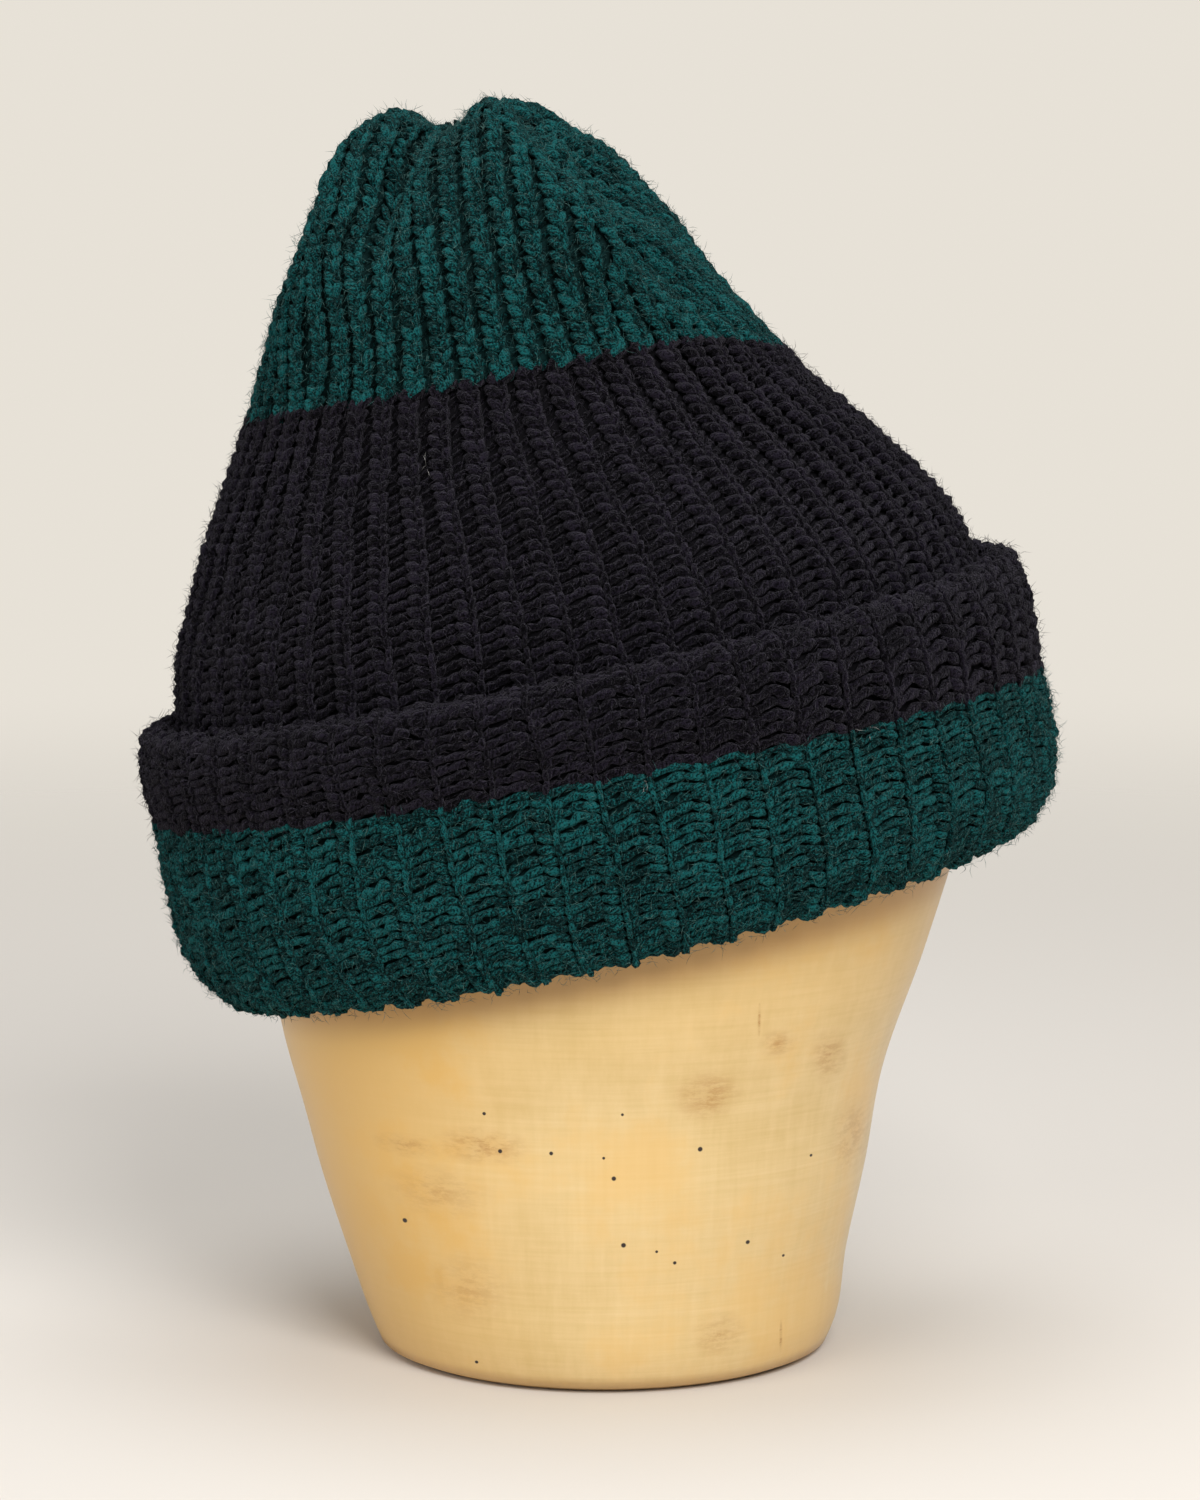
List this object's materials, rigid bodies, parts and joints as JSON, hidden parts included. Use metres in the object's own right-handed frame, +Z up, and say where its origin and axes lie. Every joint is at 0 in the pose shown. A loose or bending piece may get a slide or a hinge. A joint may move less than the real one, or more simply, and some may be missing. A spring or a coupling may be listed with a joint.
{
  "type": "knit cap on wooden block stand",
  "caption": "Ribbed wool knit cap in green and black stripes with a deep turned-up cuff and gathered crown, worn at a slant on a plain tapered wooden block stand",
  "frame": {"origin": "middle of the block stand's flat resting face", "axes": "+Z up, +X along the block's long axis, with the higher side of the slanted cuff towards +X; the cap's front faces -Y"},
  "size_m": [0.2356, 0.1956, 0.321],
  "materials": {
    "green_wool": "dark teal green heathered wool, 1x1 rib knit",
    "black_wool": "near-black wool, 1x1 rib knit",
    "varnished_wood": "honey-yellow varnished wood, lightly stained and wormed"
  },
  "bodies": {
    "root": {"crown": "green_wool", "body_band": "black_wool", "cuff_fold_band": "green_wool", "cuff_edge_band": "black_wool", "block_stand": "varnished_wood"}
  },
  "joints": []
}
